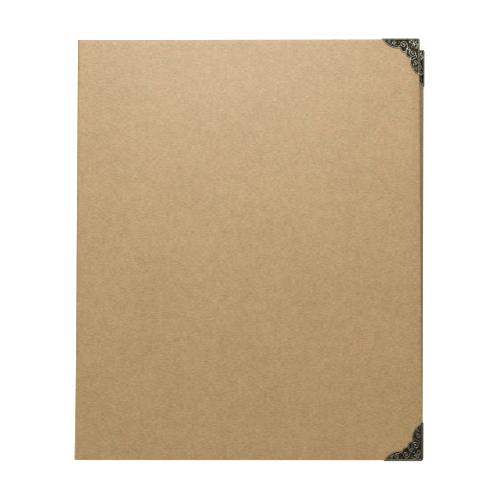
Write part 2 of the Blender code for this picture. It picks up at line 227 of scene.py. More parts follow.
hinge_rows = {row["name"]: row for row in frame["record"]["behaviour"]["joints"]}
BACK_HINGE = Vector(hinge_rows["back_hinge"]["pos_m"])
FRONT_HINGE = Vector(hinge_rows["front_hinge"]["pos_m"])
UP_SPINE = (FRONT_HINGE - BACK_HINGE).normalized()
OUT_SPINE = Vector((-UP_SPINE.z, 0, UP_SPINE.x))
SPINE_LENGTH = (FRONT_HINGE - BACK_HINGE).length
SPINE_ANGLE = math.degrees(math.atan2(OUT_SPINE.z, OUT_SPINE.x)) % 360
SPLIT = 2.6 * MM                # the two wraps meet on the spine this far above the back hinge


def turn_edge(length):
    """Distances (along, inward) of the paper as it runs on, folds over an edge and comes back."""
    steps = 5
    corner = [math.radians(90 * i / steps) for i in range(steps + 1)]
    over = [(length - EDGE_ROUND * (1 - math.sin(a)), EDGE_ROUND * (1 - math.cos(a))) for a in corner]
    under = [(length - EDGE_ROUND * (1 - math.cos(a)), PANEL - EDGE_ROUND * (1 - math.sin(a)))
             for a in corner]
    return over + under + [(length - TURN_IN / 2, PANEL), (length - TURN_IN, PANEL)]


def depth_room(distance):
    """How deep the paper may turn in at this distance from a fold, so that it folds freely."""
    return min(PANEL, ROOM_SHARE * max(FOLD, distance))


def folded_stations(hinge, start_run, fold_from, fold_to, outer):
    """Sheet lines from the spine round a hinge to the fore-edge: point, inward, room, skew, under.

    skew is the share of the front cover's turn that the line takes: none on the spine board.
    """
    stations = []
    down = -UP_SPINE if outer > 0 else UP_SPINE
    runs = np.linspace(start_run, BEND_START, 4)
    if start_run > BEND_REACH:
        runs = np.concatenate([np.linspace(start_run, BEND_REACH, 8),
                               np.linspace(3.4 * MM, BEND_START, 5)])
    for run in runs:
        point = hinge + OUT_SPINE * FOLD + down * run
        share = min(1.0, max(0.0, (TWIST_REACH - run) / (TWIST_REACH - BEND_START)))
        stations.append((point, -OUT_SPINE, depth_room(run), share, False))
    for turn in np.radians(np.linspace(fold_from, fold_to, 11)):
        outward = Vector((math.cos(turn), 0, math.sin(turn)))
        stations.append((hinge + outward * FOLD, -outward, ROOM_SHARE * FOLD, 1.0, False))
    inward = Vector((0, 0, -outer))
    face = hinge + Vector((0, 0, outer * FOLD))
    # close lines beside the fold, then one every 8 mm, and three more before the fore-edge
    beside = np.linspace(BEND_START, BEND_REACH, 6)
    for x in [*beside, *(np.linspace(8, 200, 25) * MM), 205 * MM, 211 * MM, 217 * MM]:
        stations.append((face + Vector((x, 0, 0)), inward, depth_room(x), 1.0, False))
    for along, deep in turn_edge(COVER_REACH):
        stations.append((face + Vector((along, 0, -outer * deep)), None, PANEL, 1.0, True))
    return stations


def built(name, bm):
    """Makes an object of the mesh under work."""
    mesh = bpy.data.meshes.new(name)
    bm.to_mesh(mesh)
    bm.free()
    thing = bpy.data.objects.new(name, mesh)
    bpy.context.scene.collection.objects.link(thing)
    return thing


def kraft_sheet(name, stations, hinge, skew):
    """The paper as a grid of sheet lines by cross lines, folded over head and tail as well.

    Its UV map holds the distances along the unfolded sheet.
    """
    # a cross line every 10 mm from the middle, one more before the edge, then the fold over it
    half = [(y, 0.0) for y in np.linspace(0, 130, 14) * MM] + [(134 * MM, 0.0)]
    half += turn_edge(COVER_HALF)
    cross = [(-y, deep) for y, deep in reversed(half[1:])] + half
    lie = [0.0]
    for (y0, d0), (y1, d1) in zip(cross, cross[1:]):
        lie.append(lie[-1] + math.hypot(y1 - y0, d1 - d0))
    run = [0.0]
    for (p0, *_), (p1, *_) in zip(stations, stations[1:]):
        run.append(run[-1] + (p1 - p0).length)
    bm = bmesh.new()
    sheet = bm.loops.layers.uv.new("sheet")
    grid = []
    for point, inward, room, share, under in stations:
        turned = Matrix.Rotation(skew * share, 3, "Z")
        line = []
        for y, deep in cross:
            if under and deep > 0:
                line.append(None)
                continue
            place = point + Vector((0, y, 0))
            if deep > 0:
                place += inward * min(deep, PANEL) * room / PANEL
            line.append(bm.verts.new(hinge + turned @ (place - hinge)))
        grid.append(line)
    for i in range(len(stations) - 1):
        for j in range(len(cross) - 1):
            corners = [(i, j), (i + 1, j), (i + 1, j + 1), (i, j + 1)]
            if any(grid[a][b] is None for a, b in corners):
                continue
            face = bm.faces.new([grid[a][b] for a, b in corners])
            for loop, (a, b) in zip(face.loops, corners):
                loop[sheet].uv = (run[a], lie[b])
    return built(name, bm)


def pick(thing):
    """Selects the thing alone and makes it active."""
    bpy.ops.object.select_all(action="DESELECT")
    thing.select_set(True)
    bpy.context.view_layer.objects.active = thing


def finish_sheet(thing, thickness, flip):
    """Gives a sheet its thickness on the inside and smooths its folds."""
    pick(thing)
    if flip:
        bpy.ops.object.mode_set(mode="EDIT")
        bpy.ops.mesh.select_all(action="SELECT")
        bpy.ops.mesh.flip_normals()
        bpy.ops.object.mode_set(mode="OBJECT")
    wall = thing.modifiers.new("wall", "SOLIDIFY")
    wall.thickness = thickness
    wall.offset = -1
    bpy.ops.object.modifier_apply(modifier=wall.name)
    bpy.ops.object.shade_smooth_by_angle(angle=math.radians(35))


# Kraft paper: cloudy pulp, fibres that lie across the cover, and pale and dark specks.
kraft = Finish("kraft_paper", Roughness=0.42, Specular_IOR_Level=0.64)
flat = kraft.place(on_sheet=True)
cloud = kraft.noise(flat, 0.03, 2.0)
blotch = kraft.noise(flat, 0.17, 3.0, 0.55)
fibre = kraft.noise(kraft.place((0.45, 1.35, 1.0), on_sheet=True), 0.95, 4.0, 0.65)
pulp = kraft.noise(flat, 2.1, 3.0, 0.7)
tone = 0.07 * cloud + 0.15 * blotch + 0.50 * fibre + 0.28 * pulp
shades = [(0.375, (0.326, 0.192, 0.071)), (0.5, (0.459, 0.288, 0.116)),
          (0.625, (0.580, 0.382, 0.168))]
shade = kraft.node("ShaderNodeValToRGB", {"stops": shades}, {0: tone})
warmth = kraft.between(kraft.noise(flat, 0.2, 4.0, 0.75), 0.43, 0.57)
tint = kraft.mix(warmth, (1.0, 0.955, 0.94), (0.955, 1.0, 0.98))
colour = kraft.mix(1.0, shade, tint, "MULTIPLY")
dark = kraft.between(kraft.noise(kraft.place((0.75, 1.3, 1.0), on_sheet=True), 0.85, 1.0), 0.66, 0.74)
pale = kraft.between(kraft.noise(kraft.place((1.2, 0.8, 1.0), on_sheet=True), 0.7, 1.0), 0.67, 0.75)
colour = kraft.mix(0.4 * dark, colour, (0.26, 0.15, 0.07))
colour = kraft.mix(0.35 * pale, colour, (0.70, 0.57, 0.37))
kraft.feed(kraft.shader, {"Base Color": colour})
kraft.bump(0.6 * fibre + 0.4 * pulp, depth=0.12, strength=0.5)

front_wrap = kraft_sheet("front_kraft_wrap",
                         folded_stations(FRONT_HINGE, SPINE_LENGTH - SPLIT, SPINE_ANGLE, 90, 1),
                         FRONT_HINGE, SKEW)
finish_sheet(front_wrap, PAPER, flip=False)
paint(front_wrap, kraft)
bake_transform(front_wrap)
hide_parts("front_wrap", "spine_wrap", "front_joint_outer")

back_wrap = kraft_sheet("back_kraft_wrap",
                        folded_stations(BACK_HINGE, SPLIT, SPINE_ANGLE, 270, -1), BACK_HINGE, 0.0)
finish_sheet(back_wrap, PAPER, flip=True)
paint(back_wrap, kraft)
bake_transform(back_wrap)
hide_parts("back_wrap", "back_joint_outer")

# ---- Corner guards ------------------------------------------------------------------------------
# Thin brass stamped with scrollwork, aged to a dark antique bronze, and folded over each fore-edge
# corner.  The two faces carry the same stamping: a flat band along the folds, a bead along the
# lobed inner edge, and scrolls and a palmette on the sunk ground between them.
GUARD_TOP = 1.9 * MM            # outer face above the cover's middle
GUARD_METAL = 0.17 * MM
GUARD_STAND = 0.5 * MM          # the folds' distance from the cover's edges
# The stamping is laid out in millimetres from the guard's corner.
LEG = 25.0
CELL = 0.17                     # grid of the stamped faces
RELIEF = 0.30
BAND = 1.15                     # flat band along the folds, and the width of its slope
BAND_SLOPE = 0.3
BAND_WEAR = 0.72                # the band keeps more of its tarnish than the scrolls
BEAD_PLACE = 0.5                # bead's middle from the lobed edge, and its half width
BEAD_HALF = 0.48
FOLD_ROUND = 0.55
CORNER_ROUND = 1.1
ON_FOLD = 0.01                  # points nearer than this are on a fold line


def bulge(start, end, rise, steps):
    """Points from start towards end on an arc that stands rise off the chord."""
    start, end = Vector(start), Vector(end)
    chord = end - start
    left = Vector((-chord.y, chord.x)).normalized()
    radius = (chord.length ** 2 / 4 + rise ** 2) / (2 * rise)
    centre = (start + end) / 2 - left * (radius - rise)
    spread = 2 * math.asin(chord.length / 2 / radius)
    return [tuple(centre + Matrix.Rotation(-spread * i / steps, 2) @ (start - centre))
            for i in range(steps)]


LOBES = (bulge((LEG, 0.0), (13.2, 6.7), -2.2, 12) + bulge((13.2, 6.7), (10.15, 9.65), -0.7, 5)
         + [(10.15, 9.65), (9.2, 9.2)])
INNER_EDGE = np.array(LOBES + [(v, u) for u, v in reversed(LOBES[:-1])])
GUARD_SHAPE = np.vstack([[(0.0, 0.0)], INNER_EDGE])


def spiral(centre, radius, start, turns, inner=0.22):
    """A scroll that winds in from its outer end; angles in degrees, turns may be negative."""
    steps = int(26 * abs(turns)) + 4
    share = np.linspace(0, 1, steps)
    reach = radius * (1 - (1 - inner) * share)
    angle = math.radians(start) + 2 * math.pi * turns * share
    return np.stack([centre[0] + reach * np.cos(angle), centre[1] + reach * np.sin(angle)], axis=1)


def stem(*points):
    """A smooth line through the points."""
    points = np.array(points, dtype=float)
    padded = np.vstack([2 * points[0] - points[1], points, 2 * points[-1] - points[-2]])
    line = []
    for a, b, c, d in zip(padded, padded[1:], padded[2:], padded[3:]):
        for t in np.linspace(0, 1, 8, endpoint=False):
            line.append(0.5 * (2 * b + (c - a) * t + (2 * a - 5 * b + 4 * c - d) * t * t
                               + (3 * b - a - 3 * c + d) * t ** 3))
    return np.array(line + [points[-1]])


# Scrollwork as (line, half width at its start, half width at its end), in mm from the corner:
# the first number runs along the head or tail edge, the second along the fore-edge.
SCROLLS = [
    (spiral((10.7, 4.25), 2.35, 170, 1.45), 0.42, 0.34),
    (stem((8.35, 4.7), (7.9, 6.3), (8.7, 7.9), (9.3, 8.2)), 0.45, 0.28),
    (spiral((7.5, 7.4), 1.25, 20, -1.2), 0.40, 0.30),
    (stem((13.0, 4.9), (14.2, 5.4), (15.4, 4.9), (16.2, 4.6)), 0.36, 0.30),
    (spiral((16.5, 3.05), 1.55, 95, -1.35), 0.40, 0.30),
    (stem((18.2, 3.4), (19.0, 4.0), (20.1, 3.7), (21.2, 2.9)), 0.36, 0.22),
    (spiral((20.0, 2.15), 0.95, 140, -1.1), 0.32, 0.26),
    (stem((21.4, 2.0), (22.0, 1.9), (22.8, 1.6)), 0.30, 0.14),
    (stem((13.4, 2.0), (13.8, 2.8), (14.4, 3.6)), 0.34, 0.16),
    (spiral((4.55, 10.0), 2.65, -60, 1.55), 0.42, 0.34),
    (stem((2.3, 11.4), (2.5, 13.0), (4.3, 14.0), (5.2, 15.1)), 0.42, 0.30),
    (spiral((3.0, 16.1), 1.65, 40, 1.35), 0.40, 0.30),
    (stem((4.2, 17.4), (4.4, 18.4), (3.9, 19.2)), 0.36, 0.24),
    (spiral((2.9, 19.6), 1.05, -20, 1.2), 0.34, 0.26),
    (stem((2.3, 21.0), (1.9, 22.0), (1.6, 22.8)), 0.30, 0.14),
    (stem((5.4, 12.9), (6.0, 13.6), (5.9, 14.6)), 0.34, 0.16),
    (spiral((5.15, 2.95), 1.55, 10, -0.95, 0.45), 0.48, 0.36),
    (spiral((2.95, 5.15), 1.55, 80, 0.95, 0.45), 0.48, 0.36),
    (stem((2.0, 2.0), (2.9, 2.9), (4.4, 4.4), (5.6, 5.6)), 0.52, 0.26),
    (stem((2.3, 3.2), (1.9, 3.9), (1.8, 4.8)), 0.36, 0.16),
    (stem((3.2, 2.3), (3.9, 1.9), (4.8, 1.8)), 0.36, 0.16),
    (stem((5.6, 5.6), (6.6, 5.3), (7.2, 4.6)), 0.32, 0.16),
    (stem((5.6, 5.6), (5.3, 6.6), (4.9, 7.2)), 0.32, 0.16),
]
# Small beads in the eyes of the scrolls and between them, as (place, radius).
DOTS = [((10.7, 4.25), 0.55), ((4.55, 10.0), 0.6), ((16.5, 3.05), 0.4), ((3.0, 16.1), 0.42),
        ((7.5, 7.4), 0.36), ((7.4, 2.2), 0.42), ((2.2, 7.2), 0.42), ((6.9, 9.0), 0.4),
        ((13.3, 5.9), 0.3), ((18.1, 1.9), 0.32), ((1.9, 13.6), 0.36)]


def distance_to(points, line):
    """Each point's distance to a line of points, and how far along the line its nearest point is."""
    starts, ends = line[:-1], line[1:]
    span = ends - starts
    away = points[:, None, :] - starts[None, :, :]
    share = np.clip((away * span).sum(2) / np.maximum((span ** 2).sum(1), 1e-12), 0, 1)
    nearest = starts[None] + span[None] * share[..., None]
    gap = np.linalg.norm(points[:, None, :] - nearest, axis=2)
    best = gap.argmin(axis=1)
    rows = np.arange(len(points))
    return gap[rows, best], (best + share[rows, best]) / len(starts), nearest[rows, best]


def within(points, shape):
    """Which points lie inside the closed shape."""
    inside = np.zeros(len(points), dtype=bool)
    x, y = points[:, 0], points[:, 1]
    for (x0, y0), (x1, y1) in zip(shape, np.roll(shape, -1, axis=0)):
        crosses = (y0 > y) != (y1 > y)
        if y1 != y0:
            inside ^= crosses & (x < (x1 - x0) * (y - y0) / (y1 - y0) + x0)
    return inside


def dome(gap, half_width):
    """Height of a round ridge at this distance from its middle line."""
    return np.sqrt(np.clip(1 - (gap / half_width) ** 2, 0, 1))


def stamped_skin():
    """One stamped face as (flat points, heights above the ground, faces, edge rows), in mm."""
    count = int(round(LEG / CELL)) + 1
    steps = np.linspace(0, LEG, count)
    u, v = np.meshgrid(steps, steps, indexing="ij")
    points = np.stack([u.ravel(), v.ravel()], axis=1)
    index = np.arange(count * count).reshape(count, count)
    quads = np.stack([index[:-1, :-1], index[1:, :-1], index[1:, 1:], index[:-1, 1:]], axis=-1)
    quads = quads.reshape(-1, 4)
    quads = quads[within(points[quads].mean(axis=1), GUARD_SHAPE)]
    used = np.unique(quads)
    lookup = np.full(count * count, -1)
    lookup[used] = np.arange(len(used))
    points, quads = points[used], lookup[quads]
    # the grid's ragged border is drawn onto the lobed edge
    gap, _, nearest = distance_to(points, INNER_EDGE)
    ragged = ~within(points, GUARD_SHAPE) | (gap < 0.3 * CELL)
    stray = ragged & (points.min(axis=1) > ON_FOLD)
    points[stray] = nearest[stray]
    gap = np.where(stray, 0.0, gap)

    # faintly hammered ground, then what stands up from it: band, bead, scrolls and dots
    out = points.min(axis=1)
    ground = 0.06 * np.sin(points[:, 0] * 7.1) * np.sin(points[:, 1] * 6.7)
    height = np.clip(ground, 0, 1)
    height = np.maximum(height, np.clip((BAND + BAND_SLOPE - out) / BAND_SLOPE, 0, 1))
    height = np.maximum(height, 0.95 * dome(gap - BEAD_PLACE, BEAD_HALF))
    for line, wide, narrow in SCROLLS:
        away, share, _ = distance_to(points, line)
        height = np.maximum(height, dome(away, wide + (narrow - wide) * share))
    for centre, size in DOTS:
        height = np.maximum(height, dome(np.linalg.norm(points - np.array(centre), axis=1), size))
    fold = np.clip(FOLD_ROUND - out, 0, FOLD_ROUND)
    drop = FOLD_ROUND - np.sqrt(FOLD_ROUND ** 2 - fold ** 2)
    level = GUARD_TOP / MM - RELIEF * (1 - height) - drop
    height = np.where(out < BAND, BAND_WEAR * height, height)

    # the fold's corner is rounded in plan
    a, b = np.clip(CORNER_ROUND - points, 0, None).T
    longest, reach = np.maximum(a, b), np.hypot(a, b)
    scale = np.where((a > 0) & (b > 0), longest / np.maximum(reach, 1e-9), 1.0)
    points = CORNER_ROUND - (CORNER_ROUND - points) * scale[:, None]
    return points, level, height, quads, out


SKIN = stamped_skin()


def corner_guard(name, corner, head, frame_turn):
    """Both stamped faces, the folded walls between them and the thickness of the metal."""
    points, level, height, quads, out = SKIN
    count = len(points)
    bm = bmesh.new()
    stamped = bm.verts.layers.float.new("relief")
    verts = []
    for side in (1, -1):
        for (u, v), z, raised in zip(points, level, height):
            vert = bm.verts.new(Vector((corner.x - u * MM, corner.y - head * v * MM, side * z * MM)))
            vert[stamped] = raised
            verts.append(vert)
    for side in (0, 1):
        for quad in quads:
            loop = [verts[side * count + i] for i in (quad if side else quad[::-1])]
            if len(set(tuple(vert.co) for vert in loop)) == 4:
                bm.faces.new(loop)
    on_fold = set(np.flatnonzero(out < 1e-6).tolist())
    for quad in quads.tolist():
        for a, b in zip(quad, quad[1:] + quad[:1]):
            if a in on_fold and b in on_fold:
                bm.faces.new([verts[a], verts[b], verts[count + b], verts[count + a]])
    bmesh.ops.remove_doubles(bm, verts=bm.verts, dist=0.01 * MM)
    bmesh.ops.recalc_face_normals(bm, faces=bm.faces)
    guard = built(name, bm)
    top = max(guard.data.polygons, key=lambda face: face.center.z)
    finish_sheet(guard, GUARD_METAL, flip=top.normal.z < 0)
    guard.data.transform(frame_turn)
    return guard


# Antique bronze: dark in the ground, rubbed paler and smoother on what stands up.
aged = Finish("antique_bronze", Metallic=1.0)
relief = aged.node("ShaderNodeAttribute", {"attribute_name": "relief"}, output=2)
tarnish = aged.noise(aged.place(), 0.9, 3.0, 0.6)
worn = aged.between(relief + 0.45 * (tarnish - 0.5), 0.35, 1.15)
bronzes = [(0.0, (0.024, 0.021, 0.011)), (0.55, (0.108, 0.100, 0.056)), (1.0, (0.27, 0.265, 0.22))]
aged.feed(aged.shader, {
    "Base Color": aged.node("ShaderNodeValToRGB", {"stops": bronzes}, {0: worn}),
    "Roughness": aged.between(worn, 0.0, 1.0, 0.55, 0.25)})
aged.bump(aged.noise(aged.place(), 3.2, 2.0), depth=0.04, strength=0.6)

FRONT_FRAME = Matrix.Translation(FRONT_HINGE) @ Matrix.Rotation(SKEW, 4, "Z")
BACK_FRAME = Matrix.Translation(BACK_HINGE)
for cover, frame_turn in (("front", FRONT_FRAME), ("back", BACK_FRAME)):
    for end, head in (("head", 1), ("tail", -1)):
        outer = Vector((COVER_REACH + GUARD_STAND, head * (COVER_HALF + GUARD_STAND), 0))
        guard = corner_guard(f"{cover}_corner_guard_{end}", outer, head, frame_turn)
        paint(guard, aged)
        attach(guard, f"{cover}_cover")
        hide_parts(f"{cover}_guard_{end}")

# ---- Boards and linings -------------------------------------------------------------------------
# Grey bookbinding board 2 mm thick inside each panel.  The insides are lined with black paper, and
# a strip of the same paper is tucked into each joint, where it lies folded to a V.
grey_board = Finish("grey_board", Roughness=0.95)
layers = grey_board.noise(grey_board.place((0.25, 0.25, 3.0)), 1.4, 3.0, 0.6)
grey_board.feed(grey_board.shader, {
    "Base Color": grey_board.mix(layers, (0.20, 0.185, 0.16), (0.42, 0.40, 0.36))})
grey_board.bump(layers, depth=0.10, strength=0.5)

black_liner = Finish("black_liner", Roughness=0.7)
weave = black_liner.noise(black_liner.place((0.5, 1.6, 1.0)), 1.3, 3.0, 0.6)
mottle = black_liner.noise(black_liner.place(), 0.06, 2.0)
black_liner.feed(black_liner.shader, {
    "Base Color": black_liner.mix(0.6 * weave + 0.4 * mottle, (0.008, 0.008, 0.009),
                                  (0.034, 0.033, 0.034)),
    "Roughness": black_liner.between(weave, 0.3, 0.7, 0.62, 0.8)})
black_liner.bump(weave, depth=0.08, strength=0.5)

JOINT_REACH = 3.6 * MM          # hinge line to the strip's edges
JOINT_MOUTH = 2.3 * MM          # where it leaves the boards' inner faces
JOINT_SLOPE = 1.35 * MM         # where it is half way down into the joint
JOINT_FOLD = 0.35 * MM          # its fold's distance from the hinge line
JOINT_DEPTH = 1.02 * MM         # hinge line's level to just off the boards' inner faces
JOINT_MIDWAY = 0.5 * MM         # its level on the slope
JOINT_HALF = COVER_HALF - 0.6 * MM
STRIP_PAPER = 0.08 * MM
STRIP_GIVE = 0.45 * MM          # a distance either side of the strip's fold


def loft(bm, rows, flipped=False):
    """Faces from each row of points to the next."""
    for first, second in zip(rows, rows[1:]):
        for a, b, c, d in zip(first, first[1:], second[1:], second):
            bm.faces.new((a, d, c, b) if flipped else (a, b, c, d))


def joint_lining(name, hinge, skew, cover_in, node, bodies):
    """The strip from under the spine's liner down into the joint and out along the cover.

    cover_in is the way to the album's inside from that cover: 1 is up, -1 is down.
    """
    across = Vector((1, 0, 0))
    inward = Vector((0, 0, cover_in))
    spine_way = UP_SPINE if cover_in > 0 else -UP_SPINE
    mouth = (across + spine_way).normalized()
    line = [(hinge + spine_way * JOINT_REACH - OUT_SPINE * JOINT_DEPTH, 0.0),
            (hinge + spine_way * JOINT_MOUTH - OUT_SPINE * JOINT_DEPTH, 0.0),
            (hinge + spine_way * JOINT_SLOPE - OUT_SPINE * JOINT_MIDWAY, 1.0),
            (hinge + mouth * JOINT_FOLD, 1.0),
            (hinge + across * JOINT_SLOPE + inward * JOINT_MIDWAY, 1.0),
            (hinge + across * JOINT_MOUTH + inward * JOINT_DEPTH, 1.0),
            (hinge + across * JOINT_REACH + inward * JOINT_DEPTH, 1.0)]
    bm = bmesh.new()
    rows = []
    for point, share in line:
        turned = Matrix.Rotation(skew * share, 3, "Z")
        rows.append([bm.verts.new(hinge + turned @ (point + Vector((0, y, 0)) - hinge))
                     for y in np.linspace(-1, 1, 25) * JOINT_HALF])
    loft(bm, rows, flipped=cover_in > 0)
    strip = built(name, bm)
    finish_sheet(strip, STRIP_PAPER, flip=False)
    paint(strip, black_liner)
    middle = hinge + mouth * JOINT_FOLD
    to_second = (across - spine_way).normalized() * STRIP_GIVE
    if bodies[1] == "spine":
        to_second = -to_second
    tuple(middle - to_second)
    tuple(middle + to_second)
    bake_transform(strip)
    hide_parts(node)


joint_lining("front_joint_lining", FRONT_HINGE, SKEW, -1, "front_joint_inner", ("spine", "front_cover"))
joint_lining("back_joint_lining", BACK_HINGE, 0.0, 1, "back_joint_inner", ("back_cover", "spine"))

# ---- Ring mechanism -----------------------------------------------------------------------------
# A nickel-plated three-ring mechanism: an arched steel housing riveted to the back cover, two
# blades that snap under it, a half-ring of 3 mm wire staked into each blade at each place, and a
# lever at either end.
# Heights count from the table.
RING_MIDDLE = Vector((BACK_HINGE.x + 18.0 * MM, BACK_HINGE.y, 16.3 * MM))
RING_RADIUS = 11.8 * MM         # to the middle of the wire
WIRE = 1.5 * MM                 # the wire's radius
RING_ROWS = {"tail": -108.0 * MM, "middle": 0.0, "head": 108.0 * MM}
SIDES = {"left": -1, "right": 1}
ENDS = {"tail": -1, "head": 1}
HOUSING_FOOT = 3.6 * MM
HOUSING_CROWN = 9.2 * MM
RIVET_PLACE = 70.0 * MM         # from the middle ring

nickel = Finish("plated_steel", Metallic=1.0)
brushed = nickel.noise(nickel.place((6.0, 0.12, 6.0)), 0.8, 3.0, 0.6)
smudge = nickel.noise(nickel.place(), 0.12, 3.0, 0.6)
nickel.feed(nickel.shader, {
    "Base Color": nickel.mix(smudge, (0.56, 0.55, 0.52), (0.74, 0.73, 0.71)),
    "Roughness": nickel.between(0.5 * brushed + 0.5 * smudge, 0.3, 0.7, 0.16, 0.34)})
nickel.bump(brushed, depth=0.015, strength=0.4)


def settle(thing, angle):
    """Puts the piece's place into its mesh, makes its faces point outwards and smooths it."""
    pick(thing)
    bpy.ops.object.transform_apply(location=True, rotation=True, scale=True)
    bpy.ops.object.mode_set(mode="EDIT")
    bpy.ops.mesh.select_all(action="SELECT")
    bpy.ops.mesh.remove_doubles(threshold=0.01 * MM)
    bpy.ops.mesh.normals_make_consistent(inside=False)
    bpy.ops.object.mode_set(mode="OBJECT")
    bpy.ops.object.shade_smooth_by_angle(angle=math.radians(angle))


def bevel_edges(thing, width, angle, segments=2, limit=40):
    """Rounds the edges sharper than the limit and smooths the piece again."""
    rounding = thing.modifiers.new("rounding", "BEVEL")
    rounding.width = width
    rounding.segments = segments
    rounding.limit_method = "ANGLE"
    rounding.angle_limit = math.radians(limit)
    bpy.ops.object.modifier_apply(modifier=rounding.name)
    bpy.ops.object.shade_smooth_by_angle(angle=math.radians(angle))


def carve(thing, cutter):
    """Cuts the cutter out of the thing and removes it."""
    cut = thing.modifiers.new("cut", "BOOLEAN")
    cut.operation = "DIFFERENCE"
    cut.object = cutter
    cut.solver = "EXACT"
    bpy.context.view_layer.objects.active = thing
    bpy.ops.object.modifier_apply(modifier=cut.name)
    bpy.data.objects.remove(cutter)


# The housing: a flat strip bent to an arch, with its two lips turned under and a slot for each wire.
plate_half, plate_length, plate_metal = 11.0 * MM, 240.0 * MM, 0.8 * MM
lip, lip_round = 1.8 * MM, 0.3 * MM
rise = 2.8 * MM
slot_place, slot_round, slot_length = 7.8 * MM, 2.4 * MM, 6.0 * MM
hole_round = 2.1 * MM
cut_depth, slot_height, hole_height = 8.0 * MM, 8.5 * MM, 9.0 * MM
arch_radius = (plate_half ** 2 + rise ** 2) / (2 * rise)
sweep = math.asin(plate_half / arch_radius)
arch = [(arch_radius * math.sin(sweep * (i / 12 - 1)),
         HOUSING_CROWN - arch_radius * (1 - math.cos(sweep * (i / 12 - 1)))) for i in range(25)]
wall = [(-plate_half + lip, HOUSING_FOOT), (-plate_half + lip_round, HOUSING_FOOT),
        (-plate_half, HOUSING_FOOT + lip_round)]
section = wall + arch + [(-x, z) for x, z in reversed(wall)]
bm = bmesh.new()
rows = []
for share in (-1, -0.985, 0.985, 1):
    y = RING_MIDDLE.y + share * plate_length / 2
    rows.append([bm.verts.new((RING_MIDDLE.x + x, y, z)) for x, z in section])
loft(bm, rows)
housing = built("ring_housing", bm)
finish_sheet(housing, plate_metal, flip=housing.data.polygons[len(section) // 2].normal.z < 0)
for y in RING_ROWS.values():
    for sign in SIDES.values():
        bpy.ops.mesh.primitive_cylinder_add(
            vertices=24, radius=slot_round, depth=cut_depth,
            location=(RING_MIDDLE.x + sign * slot_place, RING_MIDDLE.y + y, slot_height))
        slot = bpy.context.active_object
        for vert in slot.data.vertices:
            vert.co.x += slot_length * sign * (vert.co.x * sign > 0)
        carve(housing, slot)
for sign in ENDS.values():
    bpy.ops.mesh.primitive_cylinder_add(
        vertices=32, radius=hole_round, depth=cut_depth,
        location=(RING_MIDDLE.x, RING_MIDDLE.y + sign * RIVET_PLACE, hole_height))
    carve(housing, bpy.context.active_object)
settle(housing, 30)
bevel_edges(housing, 0.12 * MM, 30)
paint(housing, nickel)
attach(housing, "back_cover")
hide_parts("ring_plate")

# The rivets: a domed head on the crown and a clinched flange under the back cover.  Their outline
# goes from the top of the head down to the middle of the hollow below, as (radius, height) in mm.
rivet_line = [(0.0, 10.1), (1.2, 10.03), (2.3, 9.83), (3.2, 9.55), (3.65, 9.38), (3.8, 9.3),
              (3.7, 9.25), (2.0, 9.25), (2.0, 0.4), (3.7, 0.4), (3.8, 0.3), (3.72, 0.1),
              (3.5, 0.0), (1.2, 0.0), (0.9, 0.25), (0.0, 0.3)]
for end, sign in ENDS.items():
    bm = bmesh.new()
    line = [bm.verts.new((r * MM, 0, z * MM)) for r, z in rivet_line]
    for pair in zip(line, line[1:]):
        bm.edges.new(pair)
    rivet = built(f"housing_rivet_{end}", bm)
    rivet.location = (RING_MIDDLE.x, RING_MIDDLE.y + sign * RIVET_PLACE, 0)
    pick(rivet)
    turned = rivet.modifiers.new("turned", "SCREW")
    turned.steps = turned.render_steps = 48
    turned.use_merge_vertices = True
    turned.merge_threshold = 0.01 * MM
    bpy.ops.object.modifier_apply(modifier=turned.name)
    settle(rivet, 40)
    paint(rivet, nickel)
    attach(rivet, "back_cover")
    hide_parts(f"rivet_{end}")

# The half-rings: wire bent round from the tips, where the two halves meet, in a bow and led down
# into the blade.
tip_gap = 0.1 * MM              # each tip's distance from the middle
bow_end = math.radians(-42)
shank = 7.6 * MM                # the wire's distance from the middle where it goes into the blade
shank_top, shank_middle, shank_foot = 6.2 * MM, 5.4 * MM, 4.55 * MM
bow_start = math.acos(tip_gap / RING_RADIUS)
bow = [bow_start + (bow_end - bow_start) * i / 40 for i in range(41)]
wire_path = [(RING_RADIUS * math.cos(t), RING_MIDDLE.z + RING_RADIUS * math.sin(t)) for t in bow]
x0, z0 = wire_path[-1]
wire_path += [(x0 + (shank - x0) * (1 - (1 - t) ** 2), z0 + (shank_top - z0) * t)
              for t in (0.2, 0.4, 0.6, 0.8, 1.0)]
wire_path += [(shank, shank_middle), (shank, shank_foot)]


def poly_line(curve, points, closed=False):
    """Adds a line of straight stretches to the curve."""
    spline = curve.splines.new("POLY")
    spline.points.add(len(points) - 1)
    spline.use_cyclic_u = closed
    for point, place in zip(spline.points, points):
        point.co = (*place, 1)


def solid_curve(name, curve):
    """Makes a mesh object of the curve's solid."""
    thing = bpy.data.objects.new(name, curve)
    bpy.context.scene.collection.objects.link(thing)
    pick(thing)
    bpy.ops.object.convert(target="MESH")
    return bpy.context.active_object


for side, sign in SIDES.items():
    for row, y in RING_ROWS.items():
        wire = bpy.data.curves.new("wire", "CURVE")
        wire.dimensions = "3D"
        wire.bevel_depth = WIRE
        wire.bevel_resolution = 6
        wire.use_fill_caps = True
        poly_line(wire, [(RING_MIDDLE.x + sign * x, RING_MIDDLE.y + y, z) for x, z in wire_path])
        ring = solid_curve(f"half_ring_{side}_{row}", wire)
        settle(ring, 50)
        bevel_edges(ring, 0.25 * MM, 50, segments=3, limit=60)
        paint(ring, nickel)
        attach(ring, f"{side}_rings")
        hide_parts(f"ring_{side}_{row}")

